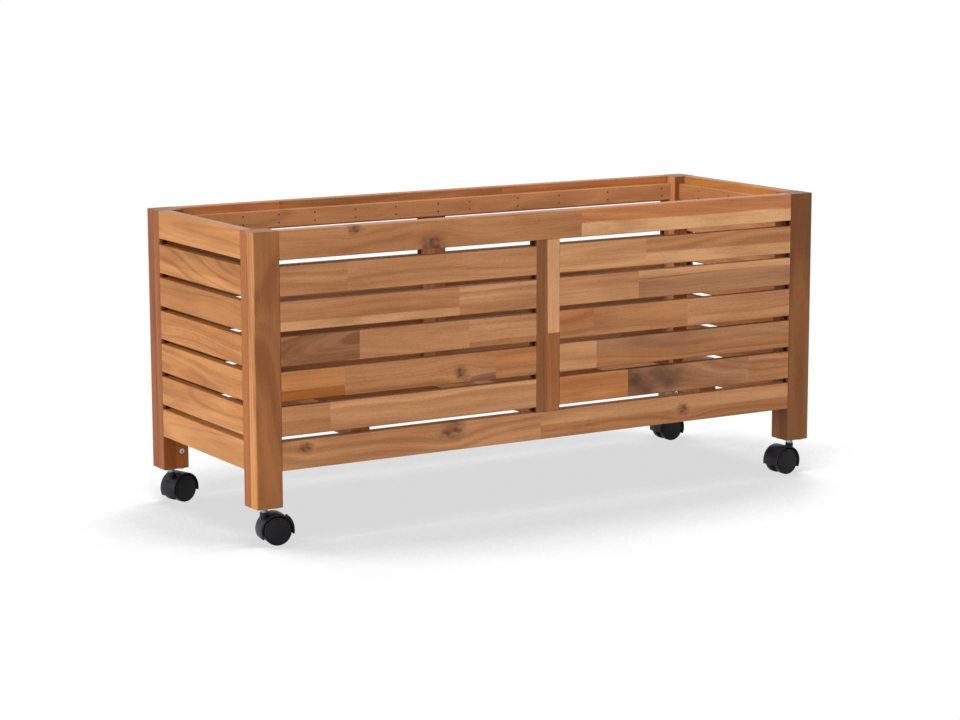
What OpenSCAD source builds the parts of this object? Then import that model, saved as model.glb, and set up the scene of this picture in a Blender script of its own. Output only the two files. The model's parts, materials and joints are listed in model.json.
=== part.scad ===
// Rolling planter: a slatted wooden box on four twin-wheel swivel casters, one with a brake lever.
// X runs along the length, Y from the front to the back, Z up from the floor under the wheels.

/* [Planter] */
// Length over the corner posts
planter_l = 950; // [760:10:1200]
// Depth over the corner posts
planter_d = 348; // [280:2:450]
// Height of the corner posts
post_h = 383; // [372:1:440]
// Width of a post's long face
post_w = 40; // [38:1:50]
// Thickness of the rails, and half of a corner post's depth
board_t = 20; // [18:0.5:24]
// Radius of the eased edges along each board
ease_r = 1.5; // [0.4:0.1:2.5]

/* [Panels] */
// Height of the top and bottom rails
rail_h = 40.5; // [36:0.5:44]
// Height of the bottom rail above the foot of the posts
foot_h = 50.5; // [40:0.5:60]
// Thickness of the slats, which are flush with the rails outside
slat_t = 13; // [11:0.5:16]
// Gap between two slats, which share the height between the rails
slat_gap = 6.9; // [4:0.1:9]
// Gap under the lowest slat
bottom_gap = 7.5; // [5:0.5:12]
// Gap over the highest slat
top_gap = 8.4; // [6:0.1:10]
// Width of the centre stile of the front and the back
stile_w = 40; // [30:1:60]
// Place of the centre stile and the middle floor bar, from the middle of the planter
stile_shift = -3; // [-20:1:20]

/* [Tenons] */
// Length of the tenon at the end of a board
tenon_l = 8; // [5:0.5:10]
// Thickness of a tenon
tenon_t = 8; // [5:0.5:10]
// Shoulder above and below a tenon
tenon_shoulder = 6; // [4:0.5:10]
// Clearance round a tenon and at its end
tenon_fit = 0.15; // [0.05:0.05:0.4]

/* [Liner battens] */
// Thickness of the battens inside the top rails
batten_t = 10; // [8:0.5:12]
// Height of those battens
batten_h = 26.5; // [20:0.5:28]
// Drop of those battens below the rim
batten_drop = 11.5; // [4:0.5:12]
// Diameter of a nail's shank
nail_d = 1.6; // [1.2:0.1:2.4]
// Diameter of a nail's head
nail_head_d = 2.8; // [2.6:0.1:4]
// Length of a nail
nail_l = 18; // [15:0.5:20]
// Height between the two nails of a pair
nail_pair = 12; // [8:0.5:14]
// Spacing of the nail pairs on the end battens
nail_pitch = 80; // [50:5:120]

/* [Floor] */
// Width of a floor bar
bar_w = 30; // [20:1:50]
// Height of a floor bar
bar_h = 25; // [18:1:35]
// Distance between the floor bars
bar_pitch = 300; // [200:10:340]
// Height of the underside of the bars above the foot of the posts
bar_z = 82; // [78:0.5:88]
// Thickness of the cleats that carry the bars
cleat_t = 10; // [8:0.5:15]
// Height of those cleats
cleat_h = 25; // [20:0.5:26]
// Distance of a cleat's nails from the middle of each floor bar
cleat_nail_x = 60; // [30:5:80]
// Diameter of the screw at each end of a bar
bar_screw_d = 4; // [3:0.5:5]
// Length of that screw
bar_screw_l = 40; // [34:1:44]

/* [Corner bolts] */
// Distance of the bolts from the post's outer side
bolt_x = 30; // [28:0.5:32]
// Height of the lowest bolt above the foot of the post
bolt_low_z = 25; // [24:0.5:34]
// Diameter of the bolt's shank
bolt_d = 5; // [4:0.5:6]
// Diameter of the bolt's socket head
bolt_head_d = 8; // [7.5:0.5:9]
// Height of the bolt's head
bolt_head_h = 5; // [3:0.5:6]
// Depth of the head's seat below the face of the post
bolt_seat = 7; // [6.5:0.5:10]
// Clearance round the head in its counterbore
bolt_head_fit = 0.7; // [0.3:0.1:1]
// Outer diameter of the threaded insert
insert_d = 8; // [7.5:0.1:8.4]
// Length of the threaded insert
insert_l = 11; // [8:0.5:13]

/* [Casters] */
// Height of a caster from the floor to the foot of the post
caster_h = 54; // [52:0.5:66]
// Diameter of a wheel
wheel_d = 40; // [36:0.5:42]
// Width of a wheel at its rim
wheel_w = 9.8; // [8:0.1:12]
// Height of the dome of a wheel's outer face
wheel_dome = 1.3; // [0.5:0.1:2.5]
// Width of the caster body's web between the wheels
web_w = 10; // [9:0.5:12]
// Gap between the web and each wheel
wheel_gap = 0.4; // [0.3:0.1:0.8]
// Distance from the swivel axis to the axle
trail = 15.5; // [14:0.5:18]
// Thickness of the hood
hood_t = 1.8; // [1.2:0.1:2.2]
// Gap between a wheel's tread and the hood
hood_gap = 2.2; // [1.8:0.1:3]
// Diameter of the axle
axle_d = 5; // [4:0.5:6]
// Radial running clearance of the axle in a wheel and of the pin in its socket
running_fit = 0.05; // [0.02:0.01:0.1]
// Diameter of the boss round the swivel pin
boss_d = 12; // [11:0.1:12.5]
// Diameter of the swivel pin
pin_d = 7; // [5:0.5:7.5]
// Diameter of the stem's collar
collar_d = 10.4; // [9:0.2:12]
// Height of the stem's collar
collar_h = 6.8; // [5:0.2:8]
// Diameter of the stem's threaded stud
stud_d = 8; // [6:0.5:9]
// Height of the stud above the foot of the post
stud_h = 14; // [10:0.5:16]
// Side of the square plate screwed under each post
plate_w = 32; // [32:1:38]
// Thickness of that plate
plate_t = 1.2; // [1:0.1:2]
// Distance of the plate's screws from the swivel axis, along each side
plate_hole = 11.5; // [11:0.5:12]
// Outer diameter of the plate's threaded barrel
barrel_d = 11; // [10.5:0.5:12]
// Height of the plate's threaded barrel
barrel_h = 10; // [6:0.5:12]
// Diameter of the plate's screws
plate_screw_d = 3.5; // [3:0.5:4]
// Length of the plate's screws above the plate
plate_screw_l = 16; // [12:1:18]

/* [Brake lever] */
// Width of the brake lever
lever_w = 13; // [10:0.5:15]
// Thickness of the brake lever's tab
lever_t = 2.2; // [1.6:0.1:2.6]
// Angle of the lever's pivot above the axle, seen from the side
lever_top = 44; // [38:1:50]
// Angle of the tab's free end, seen from the side
lever_end = -9; // [-14:1:0]
// Radius of the lever's barrel
lever_barrel_r = 1.6; // [1.4:0.1:1.8]
// Radius of the lever's two trunnions
trunnion_r = 1; // [0.8:0.1:1.1]

/* [Swivel angles at rest] */
// Front left caster, 0 trails towards +X
swivel_front_left = -10; // [-180:1:180]
// Front right caster
swivel_front_right = -176; // [-180:1:180]
// Back left caster
swivel_back_left = 16; // [-180:1:180]
// Back right caster
swivel_back_right = -179; // [-180:1:180]

/* [Hidden] */
$fn = 64;
slat_n = 5;
timber = "#b8763e";
timber_dark = "#94592d";
plastic = "#232326";
steel = "#a9adb0";
black_steel = "#2f2f31";
eps = 0.01;

// corner name, side along X, side along Y, caster angle
corners = [
    ["front_left", -1, -1, swivel_front_left],
    ["front_right", 1, -1, swivel_front_right],
    ["back_left", -1, 1, swivel_back_left],
    ["back_right", 1, 1, swivel_back_right]
];
wheels = [1, 2];
slats = [for (i = [1:slat_n]) i];
boards = [for (i = [0:slat_n + 1]) i];

// heights above the foot of the posts; board 0 is the bottom rail, the last one the top rail
top_rail_z = post_h - rail_h;
first_slat_z = foot_h + rail_h + bottom_gap;
slat_h = (top_rail_z - top_gap - first_slat_z - (slat_n - 1) * slat_gap) / slat_n;
function board_z(i) = i == 0 ? foot_h : i > slat_n ? top_rail_z
    : first_slat_z + (i - 1) * (slat_h + slat_gap);
function board_h(i) = i == 0 || i > slat_n ? rail_h : slat_h;

// bolts sit in gaps between boards, clear of the tenons
bolt_gap_slat = 2;
bolt_levels = [
    bolt_low_z,
    board_z(bolt_gap_slat) + slat_h + slat_gap / 2,
    top_rail_z - top_gap / 2
];
insert_room = 0.2;
bolt_end_room = 1;
bolt_l = board_t - bolt_seat + insert_l - bolt_end_room;
bolt_hole_d = bolt_d + 0.5;
// across the flats and depth of the hex socket
hex_af = bolt_d * 0.8;
hex_depth = bolt_head_h * 0.6;

mortise_l = tenon_l + tenon_fit;
mortise_t = tenon_t + 2 * tenon_fit;
// every tenon is flush with the inside of the slats, so one line of sockets serves all boards
tenon_in = slat_t - tenon_t;
mortise_side = tenon_in - tenon_fit;
mortise_shoulder = tenon_shoulder - tenon_fit;

half_l = planter_l / 2;
half_d = planter_d / 2;
inner_l = planter_l - 2 * post_w;
inner_d = planter_d - 2 * board_t;
end_l = planter_d - 4 * board_t;
bay_left_l = inner_l / 2 + stile_shift - stile_w / 2;
bay_right_l = inner_l / 2 - stile_shift - stile_w / 2;
bay_right_x = stile_shift + stile_w / 2;
bar_places = [-bar_pitch, 0, bar_pitch];

// nail pairs along a long batten, as shares of its length: the real ones are spaced by eye
nail_shares = [0.115, 0.183, 0.252, 0.332, 0.412, 0.498, 0.563, 0.664, 0.752, 0.859, 0.98];
nail_head_t = 0.6;
nail_play = 0.05;
end_pairs = floor((end_l - nail_pitch / 2) / nail_pitch) + 1;

hole_room = 2;
stem_hole_r = barrel_d / 2 + 0.2;
stem_hole_h = max(barrel_h, stud_h) + hole_room;

// caster, measured from the foot of the post on the swivel axis, trailing towards +X
wheel_r = wheel_d / 2;
axle_z = wheel_r - caster_h;
hood_r = wheel_r + hood_gap + hood_t;
hood_inner_r = wheel_r + hood_gap;
wheel_in = web_w / 2 + wheel_gap;
hood_side_room = 0.1;
hood_w = 2 * (wheel_in + wheel_w + hood_side_room);
pin_top_z = -plate_t - collar_h;
boss_gap = 0.3;
boss_top_z = pin_top_z - boss_gap;
pin_l = 14;
pin_room = 0.5;
// the hood's two tips, seen from the side, as angles about the axle
hood_rear_angle = -12;
hood_front_angle = 206;
// heights above the axle of the hood's notch, at its point and at its sides
notch_point = 10;
notch_side = 18;
web_r = hood_inner_r - 2.4;
hub_r = 8;
neck_z = axle_z + 4;
boss_room = 1;
boss_z = axle_z + sqrt(pow(wheel_r, 2) - pow(trail - boss_d / 2, 2)) + boss_room;
// depth of the axle in a wheel, and what the wheel keeps round it
axle_room = 0.3;
axle_reach = wheel_w - 1.5 - axle_room;
axle_l = 2 * (wheel_in + axle_reach);
wheel_hub_wall = 3;
wheel_rim_wall = 4;
wheel_hollow = wheel_w * 0.6;
tread_round = 1.2;
face_r = wheel_r - 2.2;
dome_steps = 8;
pan_d = plate_screw_d * 2;
pan_h = 1.5;

// brake lever, measured from the axle
braked = 0;
pivot_r = hood_r - lever_barrel_r - 0.1;
lever_gap = 0.4;
tab_in_r = hood_r + lever_gap;
tab_out_r = tab_in_r + lever_t;
trunnion_l = 1.5;
trunnion_room = 0.2;
lever_slot_play = 0.3;
tread_room = 0.4;
ear_cover = 0.5;
ear_w = trunnion_l + 0.6;
// half angles of the ears and of the lever's neck, and the two sides of the slot, about the pivot
ear_half = 9;
neck_half = 3;
slot_low = 14;
slot_high = 9;

// ---- placing ----

// children drawn for the front left corner, with the corner of the post at the origin, go to any corner
module at_corner(side_x, side_y) {
    mirror([side_x > 0 ? 1 : 0, 0, 0])
        mirror([0, side_y > 0 ? 1 : 0, 0])
            translate([-half_l, -half_d, caster_h]) children();
}

// children drawn for the front side go to the front or the back
module at_long_side(side_y) {
    mirror([0, side_y > 0 ? 1 : 0, 0]) translate([0, -half_d, caster_h]) children();
}

// children drawn for the left end go to the left or the right end
module at_end(side_x) {
    mirror([side_x > 0 ? 1 : 0, 0, 0]) translate([-half_l, 0, caster_h]) children();
}

// ---- boards ----

// rectangle with rounded corners, made of true arcs
module eased_rect(w, h) {
    translate([ease_r, 0]) square([w - 2 * ease_r, h]);
    translate([0, ease_r]) square([w, h - 2 * ease_r]);
    for (x = [ease_r, w - ease_r], y = [ease_r, h - ease_r]) translate([x, y]) circle(ease_r, $fn = 32);
}

module board_along_x(len, t, h) {
    rotate([90, 0, 90]) linear_extrude(len) eased_rect(t, h);
}

module board_along_y(len, t, h) {
    translate([0, len, 0]) rotate([90, 0, 0]) linear_extrude(len) eased_rect(t, h);
}

// board with a tenon at each end, in the plane of the front: X from 0 to len
module tenoned_board_x(len, t, h) {
    board_along_x(len, t, h);
    translate([-tenon_l, tenon_in, tenon_shoulder])
        cube([len + 2 * tenon_l, tenon_t, h - 2 * tenon_shoulder]);
}

// the same for an end panel: Y from 0 to len
module tenoned_board_y(len, t, h) {
    board_along_y(len, t, h);
    translate([tenon_in, -tenon_l, tenon_shoulder])
        cube([tenon_t, len + 2 * tenon_l, h - 2 * tenon_shoulder]);
}

// room for the tenon of board i, cut towards -X from the origin
module mortise_x(i) {
    translate([-mortise_l, mortise_side, board_z(i) + mortise_shoulder])
        cube([mortise_l + eps, mortise_t, board_h(i) - 2 * mortise_shoulder]);
}

// the same towards -Y
module mortise_y(i) {
    translate([mortise_side, -mortise_l, board_z(i) + mortise_shoulder])
        cube([mortise_t, mortise_l + eps, board_h(i) - 2 * mortise_shoulder]);
}

// ---- corner posts: the end stile of a long panel bolted to the end stile of an end panel ----

// children are drawn at the four screws of a caster plate
module at_plate_screws() {
    for (x = [-1, 1], y = [-1, 1]) translate([x * plate_hole, y * plate_hole, 0]) children();
}

// holes in the foot of a post for the plate's barrel, the stud and the plate's screws
module foot_holes() {
    translate([post_w / 2, board_t, -eps]) {
        cylinder(h = stem_hole_h, r = stem_hole_r);
        at_plate_screws() cylinder(h = plate_screw_l + hole_room, d = plate_screw_d + 2 * nail_play);
    }
}

module post_outer(side_x, side_y) {
    color(timber)
    at_corner(side_x, side_y)
        difference() {
            linear_extrude(post_h) eased_rect(post_w, board_t);
            for (i = boards) translate([post_w, 0, 0]) mortise_x(i);
            for (z = bolt_levels)
                translate([bolt_x, board_t + eps, z]) rotate([90, 0, 0])
                    cylinder(h = insert_l + insert_room + bolt_end_room, d = insert_d + 2 * nail_play);
            foot_holes();
        }
}

module post_inner(side_x, side_y) {
    color(timber_dark)
    at_corner(side_x, side_y)
        difference() {
            translate([0, board_t, 0]) linear_extrude(post_h) eased_rect(post_w, board_t);
            for (i = boards) translate([0, 2 * board_t, 0]) mortise_y(i);
            for (z = bolt_levels) {
                translate([bolt_x, 2 * board_t + eps, z]) rotate([90, 0, 0])
                    cylinder(h = board_t + 2 * eps, d = bolt_hole_d);
                translate([bolt_x, 2 * board_t + eps, z]) rotate([90, 0, 0])
                    cylinder(h = bolt_seat + eps, d = bolt_head_d + 2 * bolt_head_fit);
            }
            foot_holes();
        }
}

// ---- front and back panels ----

// nail holes and nails share these places; children are drawn at each, the head at the origin
module at_long_batten_nails() {
    z = post_h - batten_drop - batten_h / 2;
    for (share = nail_shares, up = [-1, 1])
        translate([-inner_l / 2 + share * inner_l, board_t + batten_t, z + up * nail_pair / 2])
            rotate([90, 0, 0]) children();
}

// the same for a cleat: a nail on each side of every bar, clear of the bar screws
module at_cleat_nails() {
    for (x = bar_places, side = [-1, 1])
        translate([stile_shift + x + side * cleat_nail_x, board_t + cleat_t, bar_z - cleat_h / 2])
            rotate([90, 0, 0]) children();
}

// the same for an end batten
module at_end_batten_nails() {
    z = post_h - batten_drop - batten_h / 2;
    for (i = [0:end_pairs - 1], up = [-1, 1])
        translate([board_t + batten_t, (i - (end_pairs - 1) / 2) * nail_pitch, z + up * nail_pair / 2])
            rotate([0, -90, 0]) children();
}

module nail() {
    cylinder(h = nail_l, d = nail_d, $fn = 24);
    cylinder(h = nail_head_t, d = nail_head_d, $fn = 24);
}

module nail_hole() {
    translate([0, 0, -eps]) {
        cylinder(h = nail_l + nail_play, d = nail_d + 2 * nail_play, $fn = 24);
        cylinder(h = nail_head_t + nail_play, d = nail_head_d + 2 * nail_play, $fn = 24);
    }
}

// socket in a rail for the centre stile's tenon, opening at height z
module stile_mortise(z, up) {
    w = stile_w - 2 * mortise_shoulder;
    translate([stile_shift - w / 2, mortise_side, up ? z - eps : z - mortise_l])
        cube([w, mortise_t, mortise_l + eps]);
}

module long_top_rail(side_y) {
    color(timber)
    at_long_side(side_y)
        difference() {
            translate([-inner_l / 2, 0, top_rail_z]) tenoned_board_x(inner_l, board_t, rail_h);
            stile_mortise(top_rail_z, true);
            at_long_batten_nails() nail_hole();
        }
}

module long_bottom_rail(side_y) {
    color(timber)
    at_long_side(side_y)
        difference() {
            translate([-inner_l / 2, 0, foot_h]) tenoned_board_x(inner_l, board_t, rail_h);
            stile_mortise(foot_h + rail_h, false);
            at_cleat_nails() nail_hole();
        }
}

module centre_stile(side_y) {
    z = foot_h + rail_h;
    h = top_rail_z - z;
    color(timber_dark)
    at_long_side(side_y)
        difference() {
            union() {
                translate([stile_shift - stile_w / 2, 0, z]) linear_extrude(h) eased_rect(stile_w, board_t);
                translate([stile_shift - stile_w / 2 + tenon_shoulder, tenon_in, z - tenon_l])
                    cube([stile_w - 2 * tenon_shoulder, tenon_t, h + 2 * tenon_l]);
            }
            for (i = slats) {
                translate([stile_shift + stile_w / 2, 0, 0]) mortise_x(i);
                translate([stile_shift - stile_w / 2, 0, 0]) mirror([1, 0, 0]) mortise_x(i);
            }
        }
}

module slat_left(i, side_y) {
    color(timber)
    at_long_side(side_y)
        translate([-inner_l / 2, 0, board_z(i)]) tenoned_board_x(bay_left_l, slat_t, slat_h);
}

module slat_right(i, side_y) {
    color(timber)
    at_long_side(side_y)
        translate([bay_right_x, 0, board_z(i)]) tenoned_board_x(bay_right_l, slat_t, slat_h);
}

// ---- end panels ----

module end_top_rail(side_x) {
    color(timber)
    at_end(side_x)
        difference() {
            translate([0, -end_l / 2, top_rail_z]) tenoned_board_y(end_l, board_t, rail_h);
            at_end_batten_nails() nail_hole();
        }
}

module end_bottom_rail(side_x) {
    color(timber) at_end(side_x) translate([0, -end_l / 2, foot_h]) tenoned_board_y(end_l, board_t, rail_h);
}

module end_slats(side_x) {
    color(timber)
    at_end(side_x)
        for (i = slats) translate([0, -end_l / 2, board_z(i)]) tenoned_board_y(end_l, slat_t, slat_h);
}

// ---- battens, cleats and floor bars ----

module long_liner_battens() {
    color(timber_dark)
    for (side_y = [-1, 1]) at_long_side(side_y)
        difference() {
            translate([-inner_l / 2, board_t, post_h - batten_drop - batten_h])
                board_along_x(inner_l, batten_t, batten_h);
            at_long_batten_nails() nail_hole();
        }
}

module end_liner_battens() {
    color(timber_dark)
    for (side_x = [-1, 1]) at_end(side_x)
        difference() {
            translate([board_t, -end_l / 2, post_h - batten_drop - batten_h])
                board_along_y(end_l, batten_t, batten_h);
            at_end_batten_nails() nail_hole();
        }
}

// children are drawn at the screw of each bar end on the front side, head up at the top of the bar
module at_bar_screws() {
    for (x = bar_places)
        translate([stile_shift + x, board_t + cleat_t / 2, bar_z + bar_h]) children();
}

module bar_screw(play = 0) {
    d = bar_screw_d + 2 * play;
    head_h = bar_screw_d / 2;
    translate([0, 0, -bar_screw_l - play]) cylinder(h = bar_screw_l + play, d = d);
    translate([0, 0, -head_h]) cylinder(h = head_h + eps * sign(play), d1 = d, d2 = d + bar_screw_d);
}

module floor_cleats() {
    color(timber_dark)
    for (side_y = [-1, 1]) at_long_side(side_y)
        difference() {
            translate([-inner_l / 2, board_t, bar_z - cleat_h]) board_along_x(inner_l, cleat_t, cleat_h);
            at_bar_screws() bar_screw(nail_play);
            at_cleat_nails() nail_hole();
        }
}

module floor_bars() {
    color(timber)
    difference() {
        for (x = bar_places)
            translate([stile_shift + x - bar_w / 2, -inner_d / 2, caster_h + bar_z])
                board_along_y(inner_d, bar_w, bar_h);
        for (side_y = [-1, 1]) at_long_side(side_y) at_bar_screws() bar_screw(nail_play);
    }
}

// ---- hardware ----

module corner_bolts() {
    color(steel)
    for (c = corners, z = bolt_levels) at_corner(c[1], c[2])
        translate([bolt_x, 2 * board_t - bolt_seat, z]) rotate([-90, 0, 0])
            difference() {
                union() {
                    cylinder(h = bolt_head_h, d = bolt_head_d);
                    translate([0, 0, -bolt_l]) cylinder(h = bolt_l + eps, d = bolt_d);
                }
                translate([0, 0, bolt_head_h - hex_depth])
                    cylinder(h = hex_depth + eps, d = hex_af / cos(30), $fn = 6);
            }
}

module corner_inserts() {
    color(steel)
    for (c = corners, z = bolt_levels) at_corner(c[1], c[2])
        translate([bolt_x, board_t, z]) rotate([90, 0, 0])
            difference() {
                cylinder(h = insert_l, d = insert_d);
                translate([0, 0, -eps]) cylinder(h = insert_l + 2 * eps, d = bolt_d + 2 * nail_play);
            }
}

module nails() {
    color(black_steel) {
        for (side_y = [-1, 1]) at_long_side(side_y) {
            at_long_batten_nails() nail();
            at_cleat_nails() nail();
        }
        for (side_x = [-1, 1]) at_end(side_x) at_end_batten_nails() nail();
    }
}

module bar_screws() {
    color(steel)
    for (side_y = [-1, 1]) at_long_side(side_y) at_bar_screws() bar_screw();
}

// square plate with a threaded barrel for the stem
module caster_plates() {
    color(steel)
    for (c = corners) at_corner(c[1], c[2]) translate([post_w / 2, board_t, 0])
        difference() {
            union() {
                translate([-plate_w / 2, -plate_w / 2, -plate_t]) cube([plate_w, plate_w, plate_t]);
                translate([0, 0, -eps]) cylinder(h = barrel_h + eps, d = barrel_d);
            }
            translate([0, 0, -plate_t - eps]) {
                cylinder(h = plate_t + barrel_h + 2 * eps, d = stud_d + 2 * nail_play);
                at_plate_screws() cylinder(h = plate_t + 2 * eps, d = plate_screw_d + 2 * nail_play);
            }
        }
}

module plate_screws() {
    color(steel)
    for (c = corners) at_corner(c[1], c[2]) translate([post_w / 2, board_t, -plate_t])
        at_plate_screws() {
            translate([0, 0, -pan_h]) cylinder(h = pan_h, d = pan_d);
            translate([0, 0, -eps]) cylinder(h = plate_t + plate_screw_l, d = plate_screw_d);
        }
}

module caster_stems() {
    color(steel)
    for (c = corners) at_corner(c[1], c[2]) translate([post_w / 2, board_t, 0]) {
        translate([0, 0, pin_top_z - pin_l]) cylinder(h = pin_l + eps, d = pin_d);
        translate([0, 0, pin_top_z]) cylinder(h = collar_h, d = collar_d);
        translate([0, 0, -plate_t - eps]) cylinder(h = plate_t + stud_h + eps, d = stud_d);
    }
}

// ---- casters ----

// children are drawn with the swivel axis on Z and the foot of the post at Z 0
module at_caster(c) {
    translate([c[1] * (half_l - post_w / 2), c[2] * (half_d - board_t), caster_h])
        rotate([0, 0, c[3]]) children();
}

// turns a side outline, X along the trail and Y up from the axle, into a solid of width w about the axle
module side_solid(w) {
    translate([trail, 0, axle_z]) rotate([90, 0, 0]) translate([0, 0, -w / 2]) linear_extrude(w) children();
}

// the part of the side view that lies below the hood's two tips
module below_tips() {
    far = 3 * hood_r;
    mid = (hood_front_angle + 360 + hood_rear_angle) / 2;
    polygon([for (a = [hood_front_angle, mid, 360 + hood_rear_angle]) far * [cos(a), sin(a)], [0, 0]]);
}

// the notch in the hood round the boss, a V when seen from the swivel side
module hood_notch() {
    side = boss_d / 2;
    translate([trail - hood_r - eps, 0, 0]) rotate([90, 0, 90]) linear_extrude(hood_r - trail + side)
        polygon([[-side, 0], [side, 0], [side, axle_z + notch_side], [0, axle_z + notch_point],
                 [-side, axle_z + notch_side]]);
}

// wedge of the side view about the axle, between two angles
module wedge(low, high) {
    polygon([for (a = [low, high]) 2 * hood_r * [cos(a), sin(a)], [0, 0]]);
}

module lever_slot() {
    side_solid(lever_w + 2 * lever_slot_play)
        intersection() {
            difference() {
                circle(hood_r + hood_t);
                circle(wheel_r + tread_room);
            }
            wedge(lever_top - slot_low, lever_top + slot_high);
        }
}

// two ears inside the hood that hold the lever's trunnions
module lever_ears() {
    for (side = [-1, 1])
        translate([0, side * (lever_w / 2 + lever_slot_play + ear_w / 2), 0])
            side_solid(ear_w)
                intersection() {
                    difference() {
                        circle(hood_r - ear_cover);
                        circle(wheel_r + tread_room);
                    }
                    wedge(lever_top - ear_half, lever_top + ear_half);
                }
}

module at_lever_pivot() {
    translate([trail + pivot_r * cos(lever_top), 0, axle_z + pivot_r * sin(lever_top)])
        rotate([90, 0, 0]) children();
}

module caster_body(c, braked) {
    color(plastic)
    at_caster(c)
        difference() {
            union() {
                difference() {
                    side_solid(hood_w) difference() {
                        circle(hood_r);
                        circle(hood_inner_r);
                        below_tips();
                    }
                    hood_notch();
                }
                side_solid(web_w) {
                    difference() {
                        circle(web_r);
                        below_tips();
                    }
                    circle(hub_r);
                }
                // bridge that carries the hood along the middle, behind the boss
                side_solid(web_w) difference() {
                    circle(hood_inner_r + hood_t / 2);
                    below_tips();
                    translate([-2 * hood_r, -2 * hood_r])
                        square([2 * hood_r - trail + boss_d / 2, 4 * hood_r]);
                }
                translate([0, 0, neck_z]) cylinder(h = boss_top_z - neck_z, d = web_w);
                translate([0, 0, boss_z]) cylinder(h = boss_top_z - boss_z, d = boss_d);
                if (braked) lever_ears();
            }
            translate([0, 0, pin_top_z - pin_l - pin_room])
                cylinder(h = pin_l + pin_room + eps, r = pin_d / 2 + running_fit);
            translate([trail, 0, axle_z]) rotate([90, 0, 0])
                cylinder(h = 2 * web_w, d = axle_d, center = true);
            if (braked) {
                lever_slot();
                at_lever_pivot()
                    cylinder(h = lever_w + 2 * (lever_slot_play + trunnion_l), r = trunnion_r + running_fit,
                             center = true);
            }
        }
}

module caster_axle(c) {
    color(steel) at_caster(c)
        translate([trail, 0, axle_z]) rotate([90, 0, 0]) cylinder(h = axle_l, d = axle_d, center = true);
}

// side 1 is on the left of the trail direction, side 2 on its right
module caster_wheel(c, w) {
    bore_r = axle_d / 2 + running_fit;
    color(plastic) at_caster(c)
        translate([trail, 0, axle_z]) rotate([w == 1 ? -90 : 90, 0, 0]) translate([0, 0, wheel_in])
            difference() {
                rotate_extrude($fn = 96)
                    polygon(concat(
                        [[0, 0], [wheel_r - tread_round, 0], [wheel_r, tread_round],
                         [wheel_r, wheel_w - tread_round], [wheel_r - tread_round, wheel_w]],
                        [for (i = [dome_steps:-1:0]) let (r = face_r * i / dome_steps)
                            [r, wheel_w + wheel_dome * (1 - pow(r / face_r, 2))]]
                    ));
                translate([0, 0, -eps]) cylinder(h = axle_reach + axle_room + eps, r = bore_r);
                translate([0, 0, -eps]) difference() {
                    cylinder(h = wheel_hollow, r = wheel_r - wheel_rim_wall);
                    translate([0, 0, -eps])
                        cylinder(h = wheel_hollow + 2 * eps, r = bore_r + wheel_hub_wall);
                }
            }
}

module brake_lever() {
    color(plastic)
    at_caster(corners[braked]) {
        at_lever_pivot() {
            cylinder(h = lever_w, r = lever_barrel_r, center = true);
            cylinder(h = lever_w + 2 * (lever_slot_play + trunnion_l - trunnion_room), r = trunnion_r,
                     center = true);
        }
        side_solid(lever_w) {
            intersection() {
                difference() {
                    circle(tab_out_r);
                    circle(tab_in_r);
                }
                polygon([[0, 0], for (a = [lever_end, (lever_end + lever_top) / 2, lever_top])
                    2 * hood_r * [cos(a), sin(a)]]);
            }
            intersection() {
                circle(tab_out_r);
                difference() {
                    wedge(lever_top - neck_half, lever_top + neck_half);
                    circle(pivot_r);
                }
            }
        }
    }
}

// ---- what is drawn ----

for (c = corners) {
    post_outer(c[1], c[2]);
    post_inner(c[1], c[2]);
    caster_body(c, c == corners[braked]);
    caster_axle(c);
    for (w = wheels)
        caster_wheel(c, w);
}
for (i = slats) {
    slat_left(i, -1);
    slat_right(i, -1);
}
long_top_rail(-1);  // front_top_rail
long_bottom_rail(-1);  // front_bottom_rail
centre_stile(-1);  // front_centre_stile
long_top_rail(1);  // back_top_rail
long_bottom_rail(1);  // back_bottom_rail
centre_stile(1);  // back_centre_stile
for (i = slats) slat_left(i, 1);  // back_slats_left
for (i = slats) slat_right(i, 1);  // back_slats_right
end_top_rail(-1);  // left_top_rail
end_bottom_rail(-1);  // left_bottom_rail
end_slats(-1);  // left_slats
end_top_rail(1);  // right_top_rail
end_bottom_rail(1);  // right_bottom_rail
end_slats(1);  // right_slats
long_liner_battens();
end_liner_battens();
floor_cleats();
floor_bars();
corner_bolts();
corner_inserts();
nails();
bar_screws();
caster_plates();
plate_screws();
caster_stems();
brake_lever();
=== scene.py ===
# %% [markdown]
# # A rolling planter in oiled hardwood
# The planter is a slatted box of glued boards that stands on four small casters with twin wheels. This
# lesson loads the built parts as a fixed frame, and then gives each of them its visible shape and finish:
# staved boards, posts with end grain, moulded plastic casters and zinc-plated hardware.

# %% The frame
import json

import bmesh
import bpy
import numpy as np
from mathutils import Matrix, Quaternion, Vector


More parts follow.
